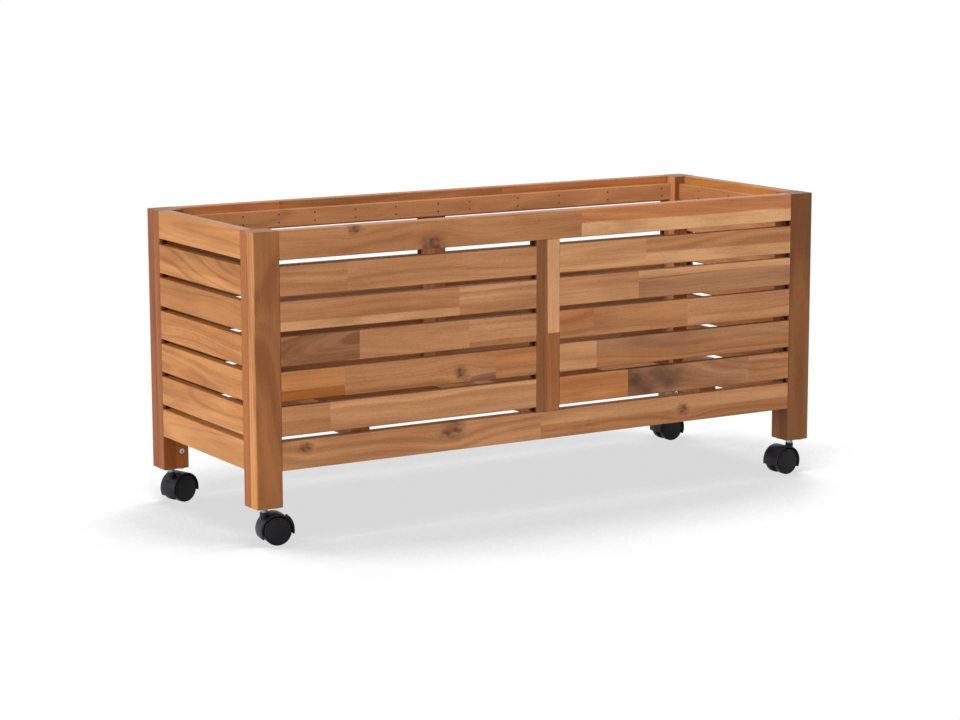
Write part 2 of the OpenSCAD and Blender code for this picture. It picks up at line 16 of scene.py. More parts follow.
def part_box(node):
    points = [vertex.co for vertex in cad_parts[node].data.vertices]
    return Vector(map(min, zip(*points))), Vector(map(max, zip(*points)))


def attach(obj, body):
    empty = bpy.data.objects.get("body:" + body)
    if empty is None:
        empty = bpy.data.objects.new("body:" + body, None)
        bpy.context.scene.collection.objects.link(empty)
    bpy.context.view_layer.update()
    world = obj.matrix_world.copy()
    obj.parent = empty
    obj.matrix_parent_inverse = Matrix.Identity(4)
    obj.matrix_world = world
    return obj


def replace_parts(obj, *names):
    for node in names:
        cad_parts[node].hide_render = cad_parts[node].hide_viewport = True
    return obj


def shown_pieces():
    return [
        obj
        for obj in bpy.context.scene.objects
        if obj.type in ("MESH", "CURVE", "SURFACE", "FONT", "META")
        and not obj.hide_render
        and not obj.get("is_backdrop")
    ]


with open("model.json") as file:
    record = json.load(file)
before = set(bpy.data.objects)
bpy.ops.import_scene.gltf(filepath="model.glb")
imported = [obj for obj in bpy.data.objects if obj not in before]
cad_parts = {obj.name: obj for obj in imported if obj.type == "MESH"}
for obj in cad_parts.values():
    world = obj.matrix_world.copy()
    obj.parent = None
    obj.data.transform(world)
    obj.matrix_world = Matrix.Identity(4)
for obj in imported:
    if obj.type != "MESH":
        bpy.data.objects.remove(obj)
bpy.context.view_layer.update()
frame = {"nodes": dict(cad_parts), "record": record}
NODES = frame["nodes"]
MM = 0.001


# %% [markdown]
# ## Camera
# The picture was taken with a long lens from a little above the rim, turned about 31 degrees from straight
# on. A Track To constraint could aim the camera, but plain angles are easier to read and to change. A camera
# in Blender looks along its own -Z axis, so the viewing direction is worked out from the two angles and
# turned into a rotation.

# %% The camera
IMAGE_WIDTH = 960
FOCAL_PX = 2605.8
SENSOR_MM = 36.0
CAMERA_PLACE = (-2.0077, -3.3141, 0.8638)
CAMERA_TURN = np.radians(31.031)
CAMERA_DROP = np.radians(9.794)
CAMERA_ROLL = np.radians(-0.121)

camera_data = bpy.data.cameras.new("camera")
camera_data.sensor_width = SENSOR_MM
camera_data.lens = SENSOR_MM * FOCAL_PX / IMAGE_WIDTH
camera = bpy.data.objects.new("camera", camera_data)
bpy.context.scene.collection.objects.link(camera)
looks_along = Vector((np.sin(CAMERA_TURN) * np.cos(CAMERA_DROP),
                      np.cos(CAMERA_TURN) * np.cos(CAMERA_DROP),
                      -np.sin(CAMERA_DROP)))
camera.location = CAMERA_PLACE
rolled = Quaternion((0.0, 0.0, 1.0), CAMERA_ROLL)
camera.rotation_euler = (looks_along.to_track_quat("-Z", "Y") @ rolled).to_euler()
bpy.context.scene.camera = camera
print("lens: %.1f mm" % camera_data.lens)


# %% [markdown]
# ## Wiring helpers
# A material or node group is a graph. These helpers add one node, feed its sockets with plain values or with
# other sockets, and return what it puts out, so that a pattern reads like the formula that it is.

# %% Node helpers
def linear(code):
    """Colour from a hex code: a channel c becomes c / 12.92 when dark, else ((c + 0.055) / 1.055) to the
    2.4."""
    parts = np.array([int(code[i:i + 2], 16) for i in (1, 3, 5)]) / 255
    parts = np.where(parts <= 0.04045, parts / 12.92, ((parts + 0.055) / 1.055) ** 2.4)
    return (*parts, 1.0)


def feed(tree, socket, value):
    """Links a socket to a socket, or sets a number, vector or colour on it."""
    if isinstance(value, bpy.types.NodeSocket):
        tree.links.new(value, socket)
    else:
        socket.default_value = value


def place(tree, kind, options=None, **sockets):
    """Adds a node. Sockets go by their names in the editor, with _ for a space."""
    node = tree.nodes.new("ShaderNode" + kind)
    for option, value in (options or {}).items():
        setattr(node, option, value)
    for name, value in sockets.items():
        feed(tree, node.inputs[name.replace("_", " ")], value)
    return node


def calc(tree, operation, *values, clamp=False):
    """One step of arithmetic on numbers."""
    node = place(tree, "Math", {"operation": operation, "use_clamp": clamp})
    for socket, value in zip(node.inputs, values):
        feed(tree, socket, value)
    return node.outputs[0]


def vector_calc(tree, operation, *values):
    """One step of arithmetic on vectors."""
    node = place(tree, "VectorMath", {"operation": operation})
    for socket, value in zip(node.inputs, values):
        feed(tree, socket, value)
    return node.outputs["Value"] if operation == "LENGTH" else node.outputs["Vector"]


def split(tree, vector):
    """The three parts of a vector or colour."""
    return place(tree, "SeparateXYZ", Vector=vector).outputs


def ramp(tree, value, low, high):
    """0 below low, 1 above high, with a smooth climb between."""
    node = place(tree, "MapRange", {"interpolation_type": "SMOOTHSTEP"}, Value=value)
    feed(tree, node.inputs["From Min"], low)
    feed(tree, node.inputs["From Max"], high)
    return node.outputs["Result"]


def blend(tree, share, first, second, how="MIX"):
    """Colour that goes from first to second as share goes from 0 to 1."""
    node = place(tree, "Mix", {"data_type": "RGBA", "blend_type": how})
    feed(tree, node.inputs[0], share)
    feed(tree, node.inputs[6], first)
    feed(tree, node.inputs[7], second)
    return node.outputs[2]


def noise(tree, vector, scales, seed, detail=1.0, out=0):
    """Four-dimensional noise of a vector stretched by scales, per metre, at the depth that the seed gives."""
    stretched = vector_calc(tree, "MULTIPLY", vector, scales)
    node = place(tree, "TexNoise", {"noise_dimensions": "4D"}, Vector=stretched, W=seed, Scale=1.0,
                 Detail=detail)
    return node.outputs[out]


def start_group(name, inputs, outputs):
    """An empty node group with named inputs and outputs; each is a name and a kind."""
    tree = bpy.data.node_groups.new(name, "ShaderNodeTree")
    for way, sockets in (("INPUT", inputs), ("OUTPUT", outputs)):
        for socket_name, kind in sockets:
            tree.interface.new_socket(socket_name, in_out=way, socket_type="NodeSocket" + kind)
    given = tree.nodes.new("NodeGroupInput").outputs
    result = tree.nodes.new("NodeGroupOutput").inputs
    return tree, given, result


# %% [markdown]
# ## Timber
# Each stave of the real boards is a strip of a tropical hardwood: soft bands where the rings are cut, short
# dark pores along the grain, darker and redder heartwood beside pale sapwood, and a knot here and there that
# the grain flows round. A picture of wood wrapped round a board would not meet at its edges. So one node
# group makes the wood from a place in the board, measured along the grain, through the thickness and across
# the width, and every face of a board shows the same log.

# %% Grain round a knot
KNOT_LONG = 4.0
KNOT_HIGH = 2.2
KNOT_PULL = -0.75
SMALLEST_KNOT = 0.1 * MM


def grain_round_knot(tree, grain, knot):
    """Near a knot the place across loses 0.75 times its distance from the knot, times e to the minus r
    squared, so the grain bulges round it. The distance r is 1 on an oval that reaches 4 knot radii along and
    2.2 across. Returns the place in the grain, its first and last part, and the place round the knot in knot
    radii."""
    along, deep, across = split(tree, grain)
    knot_along, knot_across, knot_radius = split(tree, knot)
    reach = calc(tree, "MAXIMUM", knot_radius, SMALLEST_KNOT)
    off_along = calc(tree, "DIVIDE", calc(tree, "SUBTRACT", along, knot_along), reach)
    off_across = calc(tree, "DIVIDE", calc(tree, "SUBTRACT", across, knot_across), reach)
    oval = place(tree, "CombineXYZ", X=calc(tree, "DIVIDE", off_along, KNOT_LONG),
                 Y=calc(tree, "DIVIDE", off_across, KNOT_HIGH))
    far = vector_calc(tree, "LENGTH", oval.outputs[0])
    nearness = calc(tree, "EXPONENT", calc(tree, "MULTIPLY", calc(tree, "POWER", far, 2.0), -1.0))
    push = calc(tree, "MULTIPLY", calc(tree, "MULTIPLY", off_across, reach),
                calc(tree, "MULTIPLY", nearness, KNOT_PULL))
    flowed = calc(tree, "ADD", across, push)
    body = place(tree, "CombineXYZ", X=along, Y=deep, Z=flowed).outputs[0]
    return body, along, flowed, off_along, off_across


# %% Rings
WANDER_SCALES = (3.2, 9.0, 9.0)
WANDER_PLAIN = 10 * MM
WANDER_FIGURED = 50 * MM
RINGS_PER_METRE = 150.0
PITH_RISE = 0.09
PITH_NEAREST = 4 * MM
PITH_DEPTHS = 45 * MM
PITH_SIDEWAYS = 70 * MM


def wandering(tree, body, seed, figure):
    """The place plus slow noise, 10 mm wide in plain wood and 50 mm wider for a figure of 1."""
    wander = vector_calc(tree, "SUBTRACT", noise(tree, body, WANDER_SCALES, seed, 1.5, out=1),
                         (0.5, 0.5, 0.5))
    wander = vector_calc(tree, "SCALE", wander)
    amount = calc(tree, "MULTIPLY_ADD", figure, WANDER_FIGURED, WANDER_PLAIN)
    feed(tree, wander.node.inputs["Scale"], amount)
    return vector_calc(tree, "ADD", body, wander)


def ring_bands(tree, bent, along, seed):
    """Noise of the distance to a pith line, which lies behind the face and rises slowly along the stave.
    Three chance numbers of the seed say how deep it lies, how far to the side and how fast it rises."""
    chance = place(tree, "TexWhiteNoise", {"noise_dimensions": "1D"}, W=seed).outputs["Color"]
    chance_deep, chance_across, chance_rise = split(tree, chance)
    rise = calc(tree, "MULTIPLY", calc(tree, "SUBTRACT", chance_rise, 0.5), PITH_RISE)
    pith_deep = calc(tree, "MULTIPLY_ADD", chance_deep, PITH_DEPTHS, PITH_NEAREST)
    pith_deep = calc(tree, "ADD", pith_deep, calc(tree, "MULTIPLY", along, rise))
    pith_across = calc(tree, "MULTIPLY", calc(tree, "SUBTRACT", chance_across, 0.5), PITH_SIDEWAYS)
    pith = place(tree, "CombineXYZ", Y=pith_deep, Z=pith_across).outputs[0]
    flat = vector_calc(tree, "MULTIPLY", vector_calc(tree, "SUBTRACT", bent, pith), (0.0, 1.0, 1.0))
    radius = vector_calc(tree, "LENGTH", flat)
    return place(tree, "TexNoise", {"noise_dimensions": "1D"}, Scale=1.0, Detail=2.5, Roughness=0.6,
                 W=calc(tree, "MULTIPLY_ADD", radius, RINGS_PER_METRE,
                        calc(tree, "MULTIPLY", seed, 17.0))).outputs[0]


# %% Tones in the wood
# what the stave's own tone is multiplied by in each place
PALE_RING = (1.20, 1.22, 1.24, 1.0)
DEEP_RING = (0.78, 0.71, 0.64, 1.0)
PORE = (0.45, 0.38, 0.32, 1.0)
KNOT_RIM = (1.12, 1.14, 1.10, 1.0)
KNOT_STAIN = (0.48, 0.44, 0.47, 1.0)
END_GRAIN = (0.72, 0.66, 0.6, 1.0)
# painted shade: the tint of the faces between boards, of grooves and of the back's inner faces
PAINTED_SHADE_TINT = (0.10, 0.07, 0.05, 1.0)
# the spots in a knot have a colour of their own
KNOT_SPOT = linear("#3A2620")


def tinted(tree, colour, tint, share):
    """Goes from a colour to that colour times the tint as share goes from 0 to 1."""
    return blend(tree, share, colour, blend(tree, 1.0, colour, tint, "MULTIPLY"))


def tone_depth(tree, rings, cloud, fibre, figure):
    """A half, plus how far each pattern is from a half, times its strength: rings and clouds gain strength
    with the figure, fibres don't."""
    depth = calc(tree, "MULTIPLY", calc(tree, "SUBTRACT", rings, 0.5),
                 calc(tree, "MULTIPLY_ADD", figure, 2.6, 1.2))
    depth = calc(tree, "MULTIPLY_ADD", calc(tree, "SUBTRACT", cloud, 0.5),
                 calc(tree, "MULTIPLY_ADD", figure, 2.4, 1.0), depth)
    depth = calc(tree, "ADD", calc(tree, "SUBTRACT", fibre, 0.5), depth)
    return calc(tree, "ADD", depth, 0.5, clamp=True)


def with_knot(tree, colour, off_along, off_across, seed):
    """A soft lobed stain, a few dark spots in it and a paler rim where the grain parts. The lobes come from
    the distance to the knot's middle plus noise."""
    round_knot = place(tree, "CombineXYZ", X=calc(tree, "MULTIPLY", off_along, 0.75), Y=off_across).outputs[0]
    lobes = noise(tree, round_knot, (0.9, 0.9, 1.0), seed, 1.5)
    spots = noise(tree, round_knot, (1.7, 1.7, 1.0), calc(tree, "ADD", seed, 4.0), 0.5)
    middle = vector_calc(tree, "LENGTH", round_knot)
    far = calc(tree, "MULTIPLY_ADD", calc(tree, "SUBTRACT", lobes, 0.5), 2.0, middle)
    rim = calc(tree, "SUBTRACT", 1.0, ramp(tree, far, 1.4, 2.8))
    stain = calc(tree, "SUBTRACT", 1.0, ramp(tree, far, 0.0, 1.6))
    core = calc(tree, "MULTIPLY", calc(tree, "SUBTRACT", 1.0, ramp(tree, middle, 0.5, 1.3)),
                ramp(tree, spots, 0.42, 0.70))
    colour = tinted(tree, colour, KNOT_RIM, calc(tree, "MULTIPLY", rim, 0.4))
    colour = tinted(tree, colour, KNOT_STAIN, calc(tree, "MULTIPLY", stain, 0.95))
    return blend(tree, calc(tree, "MULTIPLY", core, 0.7), colour, KNOT_SPOT)


# %% The timber group
FIBRE_SCALES = (14.0, 1000.0, 1000.0)
PORE_SCALES = (230.0, 1500.0, 1500.0)
CLOUD_SCALES = (6.0, 34.0, 34.0)
BORDER_SWAY = 6 * MM
BORDER_SOFT = 1.2 * MM


def build_timber_figure():
    """Rings, clouds and fibres give the depth of tone, pores darken it, and upper and lower wood meet at an
    edge across the width. End is 1 on end grain, and the last input is the share of painted shade, which
    also makes the surface rougher."""
    tree, given, result = start_group(
        "timber figure",
        [("Grain", "Vector"), ("Upper", "Color"), ("Lower", "Color"), ("Edge", "Float"),
         ("Figure", "Float"), ("Seed", "Float"), ("Knot", "Vector"), ("End", "Float"),
         ("Painted Shade", "Float")],
        [("Colour", "Color"), ("Roughness", "Float"), ("Height", "Float")])
    seed, figure = given["Seed"], given["Figure"]
    body, along, flowed, off_along, off_across = grain_round_knot(tree, given["Grain"], given["Knot"])
    bent = wandering(tree, body, seed, figure)
    rings = ring_bands(tree, bent, along, seed)
    fibre = noise(tree, bent, FIBRE_SCALES, seed, 1.0)
    pores = ramp(tree, noise(tree, body, PORE_SCALES, seed, 0.0), 0.60, 0.76)
    cloud = noise(tree, bent, CLOUD_SCALES, calc(tree, "ADD", seed, 9.0), 2.0)
    depth = tone_depth(tree, rings, cloud, fibre, figure)

    border = calc(tree, "MULTIPLY_ADD", calc(tree, "SUBTRACT", cloud, 0.5), BORDER_SWAY, flowed)
    border = calc(tree, "SUBTRACT", border, given["Edge"])
    base = blend(tree, ramp(tree, border, -BORDER_SOFT, BORDER_SOFT), given["Lower"], given["Upper"])
    pale = blend(tree, 1.0, base, PALE_RING, "MULTIPLY")
    dark = blend(tree, 1.0, base, DEEP_RING, "MULTIPLY")
    colour = tinted(tree, blend(tree, depth, pale, dark), PORE, calc(tree, "MULTIPLY", pores, 0.38))
    colour = with_knot(tree, colour, off_along, off_across, seed)
    # end grain drinks more oil, and painted shade darkens the faces between boards, grooves and inner faces
    colour = tinted(tree, colour, END_GRAIN, calc(tree, "MULTIPLY", given["End"], 0.6))
    colour = tinted(tree, colour, PAINTED_SHADE_TINT, given["Painted Shade"])
    feed(tree, result["Colour"], colour)

    rough = calc(tree, "MULTIPLY_ADD", depth, 0.10, 0.38)
    # where shade is painted the wood is also rougher, so it shines less
    rough = calc(tree, "MULTIPLY_ADD", given["Painted Shade"], 0.45, rough)
    feed(tree, result["Roughness"], calc(tree, "MULTIPLY_ADD", pores, 0.15, rough, clamp=True))
    height = calc(tree, "MULTIPLY_ADD", pores, -0.8, calc(tree, "MULTIPLY", fibre, 0.7))
    feed(tree, result["Height"], height)
    return tree


TIMBER = build_timber_figure()
print("timber group:", len(TIMBER.nodes), "nodes")


# %% [markdown]
# Every stave could have a material of its own, but there are dozens. So a new board carries attributes, its
# place in the grain at each point and its looks on each face, and one material serves them all. A part that
# comes from the frame has no such attributes: its material reads Object coordinates, which are the planter's
# own, and takes the axis of its grain and its tones as plain values. Shade is painted in, as darker colour,
# in
# three kinds of place: the faces between two boards, the inner faces of the back's slats, and bands along
# the posts and the centre stiles, where the ends of the boards sit, that stand for the shade in a groove; the
# surface has no groove there.

# %% Surface and painted groove shade
WOOD_GLOSS = 0.28
# painted groove shade: half its width, its middle in from the face, the height below which it stops, its soft
# edge
GROOVE_HALF = 4 * MM
GROOVE_MIDDLE = 9 * MM
GROOVE_FOOT = 104.5 * MM
GROOVE_SOFT = 0.2 * MM
SLAT_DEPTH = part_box("back_slats_left")[1][1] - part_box("back_slats_left")[0][1]


def finish_surface(tree, group, **sockets):
    """A Principled shader with the group's colour, roughness and bump, and plain values for the rest."""
    bump = place(tree, "Bump", Strength=0.35, Distance=0.0004, Height=group.outputs["Height"])
    shader = place(tree, "BsdfPrincipled", Base_Color=group.outputs["Colour"],
                   Roughness=group.outputs["Roughness"], Normal=bump.outputs[0], **sockets)
    output = tree.nodes.new("ShaderNodeOutputMaterial")
    tree.links.new(shader.outputs[0], output.inputs["Surface"])


def start_material(name, group):
    """A new material that holds one node group."""
    material = bpy.data.materials.new(name)
    material.use_nodes = True
    tree = material.node_tree
    tree.nodes.clear()
    node = tree.nodes.new("ShaderNodeGroup")
    node.node_tree = group
    return material, tree, node


def painted_groove_band(tree, deep, middle):
    """Mask of painted groove shade: 1 where the depth is within half a groove of its middle, else 0."""
    off = calc(tree, "ABSOLUTE", calc(tree, "SUBTRACT", deep, middle))
    return calc(tree, "SUBTRACT", 1.0, ramp(tree, off, GROOVE_HALF - GROOVE_SOFT, GROOVE_HALF + GROOVE_SOFT))


# %% Timber for staved boards
def attribute(tree, name, out="Vector"):
    """What a piece stores under a name."""
    return place(tree, "Attribute", {"attribute_name": name}).outputs[out]


def stave_timber():
    """Oiled timber for boards whose staves carry their own tones, figure, seed and knot. Painted shade is the
    largest of three shares: on the faces across the width, in the band of a groove and on the inner face."""
    material, tree, figure = start_material("oiled staves", TIMBER)
    for socket, name, out in (("Grain", "grain", "Vector"), ("Upper", "upper", "Color"),
                              ("Lower", "lower", "Color"), ("Knot", "knot", "Vector")):
        feed(tree, figure.inputs[socket], attribute(tree, name, out))
    for socket, value in zip(("Edge", "Figure", "Seed"), split(tree, attribute(tree, "looks"))):
        feed(tree, figure.inputs[socket], value)
    sides, painted_groove, inside = split(tree, attribute(tree, "painted_shade"))
    deep = split(tree, attribute(tree, "grain"))[1]
    groove = calc(tree, "MULTIPLY", painted_groove, painted_groove_band(tree, deep, GROOVE_MIDDLE))
    inner = calc(tree, "MULTIPLY", inside, ramp(tree, deep, SLAT_DEPTH - 1.0 * MM, SLAT_DEPTH - 0.1 * MM))
    painted_shade = calc(tree, "MAXIMUM", calc(tree, "MAXIMUM", sides, groove), inner)
    feed(tree, figure.inputs["Painted Shade"], painted_shade)
    finish_surface(tree, figure, Specular_IOR_Level=WOOD_GLOSS)
    return material


# %% Timber for the frame's own boards
AXES = "xyz"


def node_timber(name, grain, upper, lower=None, edge=0.0, figure=0.3, seed=0.0, middle=0.0, deep="y",
                groove=None):
    """Oiled timber for a part from the frame: grain and deep name the axes along and through the board, and
    middle is the middle of the remaining axis. A groove is a band of painted shade, given as the axis and
    direction that its face looks along, the axis across it and its middle on that axis."""
    material, tree, node = start_material(name, TIMBER)
    across = (set(AXES) - {grain, deep}).pop()
    where = place(tree, "TexCoord")
    shares = split(tree, where.outputs["Object"])
    facing = split(tree, where.outputs["Normal"])
    order = place(tree, "CombineXYZ", X=shares[AXES.index(grain)], Y=shares[AXES.index(deep)],
                  Z=calc(tree, "SUBTRACT", shares[AXES.index(across)], middle))
    feed(tree, node.inputs["Grain"], order.outputs[0])
    end = ramp(tree, calc(tree, "ABSOLUTE", facing[AXES.index(grain)]), 0.6, 0.9)
    feed(tree, node.inputs["End"], end)
    for socket, value in (("Upper", linear(upper)), ("Lower", linear(lower or upper)), ("Edge", edge),
                          ("Figure", figure), ("Seed", seed)):
        node.inputs[socket].default_value = value
    # painted shade: a dark band where a groove's shade falls, above the foot
    if groove:
        looks_to, way, across_it, at = groove
        grooved_face = ramp(tree, calc(tree, "MULTIPLY", facing[AXES.index(looks_to)], way), 0.6, 0.9)
        share = calc(tree, "MULTIPLY", grooved_face, painted_groove_band(tree, shares[AXES.index(across_it)], at))
        over_foot = ramp(tree, shares[2], GROOVE_FOOT, GROOVE_FOOT + 0.5 * MM)
        feed(tree, node.inputs["Painted Shade"], calc(tree, "MULTIPLY", share, over_foot))
    finish_surface(tree, node, Specular_IOR_Level=WOOD_GLOSS)
    return material


# %% Tones of the oiled staves
# from sapwood to dark heartwood
WOOD = {
    "straw": "#DCA775", "yellow": "#D49D6C", "light": "#CB9262", "pale": "#C48C5F", "honey": "#BC8356",
    "amber": "#C6834B", "orange": "#C27C49", "red": "#B87643", "brown": "#B67C4E", "russet": "#AF7547",
    "grey": "#A8754E", "umber": "#9F6437", "walnut": "#94623D", "chestnut": "#8D572E",
    "pale gold": "#BF8145", "gold": "#B7793B", "brown gold": "#B17131", "apricot": "#CD8F5F",
    "rust": "#9D591D", "deep rust": "#8B4B14", "sepia": "#824F24", "plum": "#8C5F49",
    "deep gold": "#A56829", "dark rust": "#673C19",
}
STAVES = stave_timber()
print("tones:", ", ".join(WOOD))


# %% [markdown]
# ## Staved boards
# A rail or slat is planed from staves glued end to end, and its long edges are eased. A cube with a Bevel
# modifier would have the edges, but not the glue joints. So the surface is one profile, a rectangle with four
# small arcs, carried along the length. Where it starts and ends, and at each glue joint, the profile shrinks
# a little, which leaves the fine line that the eye finds there.

# %% The board surface
EASE = 1.5 * MM
TENON = 8 * MM
ARC_POINTS = 5
# place from the end or from the joint, and how far the profile shrinks there
END_ROWS = ((0.0, 0.5 * MM), (0.2 * MM, 0.15 * MM), (0.6 * MM, 0.0))
JOINT_ROWS = ((-0.35 * MM, 0.0), (0.0, 0.13 * MM), (0.35 * MM, 0.0))


def board_surface(grain, low, high, joints):
    """Point (i, k) lies at place s_i along the grain, and round the profile at corner centre + (EASE -
    inset_i) times (cos, sin) of angle k. Returns points, quads, the two caps, the place of each quad along
    the grain and how far it faces along each axis."""
    g = AXES.index(grain)
    a, b = [i for i in range(3) if i != g]
    # with a, b and g in a right-handed order the faces look outward
    if grain == "y":
        a, b = b, a
    rows = [(low[g] + s, inset) for s, inset in END_ROWS]
    rows += [(joint + s, inset) for joint, runs_on in joints
             for s, inset in (JOINT_ROWS if not runs_on else [(0.0, 0.0)])]
    rows += [(high[g] - s, inset) for s, inset in reversed(END_ROWS)]
    places, insets = np.array(rows).T
    turn = np.radians(np.linspace(0, 90, ARC_POINTS)[None, :] + 90 * np.arange(4)[:, None])
    side_a = np.array([1, -1, -1, 1])[:, None] * ((high[a] - low[a]) / 2 - EASE)
    side_b = np.array([1, 1, -1, -1])[:, None] * ((high[b] - low[b]) / 2 - EASE)
    reach = (EASE - insets)[:, None, None]
    points = np.empty((len(rows), 4, ARC_POINTS, 3))
    points[..., g] = places[:, None, None]
    points[..., a] = (high[a] + low[a]) / 2 + side_a + reach * np.cos(turn)
    points[..., b] = (high[b] + low[b]) / 2 + side_b + reach * np.sin(turn)
    round_count = 4 * ARC_POINTS
    points = points.reshape(-1, 3)
    index = np.arange(len(points)).reshape(len(rows), round_count)
    following = np.roll(index, -1, axis=1)
    quads = np.stack([index[:-1], following[:-1], following[1:], index[1:]], axis=-1).reshape(-1, 4)
    caps = [index[0, ::-1].tolist(), index[-1].tolist()]
    middles = np.repeat((places[:-1] + places[1:]) / 2, round_count)
    quarter = np.append(turn[0, :-1] + np.diff(turn[0]) / 2, turn[0, -1])
    angles = (quarter[None, :] + np.radians(90) * np.arange(4)[:, None]).ravel()
    facing = np.zeros((len(quads), 3))
    facing[:, a] = np.tile(np.abs(np.cos(angles)), len(rows) - 1)
    facing[:, b] = np.tile(np.abs(np.sin(angles)), len(rows) - 1)
    return points, quads, caps, middles, facing


print("profile:", 4 * ARC_POINTS, "points round a board")


# %% Pieces and their attributes
ATTRIBUTES = {
    "grain": ("FLOAT_VECTOR", "POINT"), "looks": ("FLOAT_VECTOR", "FACE"), "knot": ("FLOAT_VECTOR", "FACE"),
    "painted_shade": ("FLOAT_VECTOR", "FACE"), "upper": ("FLOAT_COLOR", "FACE"), "lower": ("FLOAT_COLOR", "FACE"),
}


def new_piece(name, points, faces, material, body):
    """Puts points and faces into a mesh object with the given material, which rides on a body."""
    mesh = bpy.data.meshes.new(name)
    mesh.from_pydata(points.tolist(), [], faces)
    mesh.materials.append(material)
    piece = bpy.data.objects.new(name, mesh)
    bpy.context.scene.collection.objects.link(piece)
    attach(piece, body)
    return piece


def set_attribute(mesh, name, values):
    """Stores one value per point or face under a name that materials can read."""
    kind, domain = ATTRIBUTES[name]
    field = {"FLOAT_COLOR": "color", "FLOAT_VECTOR": "vector"}[kind]
    stored = mesh.attributes.new(name, kind, domain)
    stored.data.foreach_set(field, np.ascontiguousarray(values, dtype=np.float32).ravel())


# %% Staves
def stave(end, upper, lower=None, edge=0.5, figure=0.25, knot=None, runs_on=False):
    """A stave is given by its end along the board, in millimetres, its upper and lower tone, where they meet
    as a share of the width, how strongly it is figured, and a knot: its place along and across the board and
    its radius, in millimetres. A stave with two knots is given as two that run on, with no joint between."""
    return {"runs_on": runs_on, "end": end * MM, "upper": linear(WOOD[upper]),
            "lower": linear(WOOD[lower or upper]), "edge": edge, "figure": figure,
            "knot": np.array(knot or (0, 0, 0)) * MM}


def stable_seed(name, number):
    """A number that belongs to a board for good: the sum of its letters' codes and its place in the piece."""
    return sum(ord(letter) * (i + 1) for i, letter in enumerate(name)) % 97 + 11.3 * number


def board_arrays(board, seed, painted_shade, painted_groove, inside):
    """A board is the axes of its grain and depth, its lowest and highest corner and its staves. Returns its
    points, quads, caps and attributes: points store their place in the board, faces the looks of their
    stave and their shares of painted shade."""
    grain, deep, low, high, staves = board
    low, high = np.array(low), np.array(high)
    g, d = AXES.index(grain), AXES.index(deep)
    c = 3 - g - d
    points, quads, caps, middles, facing = board_surface(
        grain, low, high, [(s["end"], s["runs_on"]) for s in staves[:-1]])
    outer = low[d] if low[d] < 0 else high[d]
    places = np.stack([points[:, g], np.abs(points[:, d] - outer), points[:, c] - (low[c] + high[c]) / 2],
                      axis=1)
    ends = np.array([s["end"] for s in staves])
    which = np.searchsorted(ends[:-1], np.append(middles, [low[g], high[g]]))
    seeds = seed + 3.7 * np.cumsum([0] + [not s["runs_on"] for s in staves[:-1]])
    width = high[c] - low[c]
    looks = np.array([[(s["edge"] - 0.5) * width, s["figure"], chance] for s, chance in zip(staves, seeds)])
    # painted shade on the faces across the width, in the groove band of a stile's sides and on the inner face
    sideways = np.append(facing[:, c] ** 2, [0, 0])
    painted_shades = np.stack([sideways * painted_shade, (sideways > 0.99) * painted_groove, np.full(len(which), inside)], axis=1)
    values = {key: np.array([s[key] for s in staves])[which] for key in ("knot", "upper", "lower")}
    return points, quads, caps, {"grain": places, "looks": looks[which], "painted_shade": painted_shades, **values}


def build_boards(name, boards, painted_shade=0.0, painted_groove=False, inside=0.0):
    """One object from boards. The faces across a board's width get a share of painted shade, or the painted
    shade of the groove that holds other boards, and the inner face can get painted shade too."""
    all_points, all_faces, fields, count = [], [], [], 0
    for number, board in enumerate(boards):
        points, quads, caps, values = board_arrays(board, stable_seed(name, number), painted_shade, painted_groove, inside)
        all_points.append(points)
        all_faces += (quads + count).tolist() + [[i + count for i in cap] for cap in caps]
        fields.append(values)
        count += len(points)
    piece = new_piece(name, np.concatenate(all_points), all_faces, STAVES, "planter_frame")
    for key in ATTRIBUTES:
        set_attribute(piece.data, key, np.concatenate([values[key] for values in fields]))
    return piece


def span(node, grain):
    """A node's corners without its tenons."""
    low, high = (np.array(corner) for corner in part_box(node))
    g = AXES.index(grain)
    low[g] += TENON
    high[g] -= TENON
    return low, high


def lone_board(node, grain, deep, staves, painted_shade=0.0, painted_groove=False):
    """The board of a node that holds just one, in that node's place."""
    board = (grain, deep, *span(node, grain), staves)
    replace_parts(build_boards(node + "_board", [board], painted_shade, painted_groove), node)


# %% [markdown]
# ## Front panel
# The front is what the picture shows best, so its staves are set one by one: where each glue joint lies,
# which tones it has, and where the knots sit. A random draw would be quicker, but it would be another
# planter. The boards' places and heights come from the frame, less the hidden tenons.

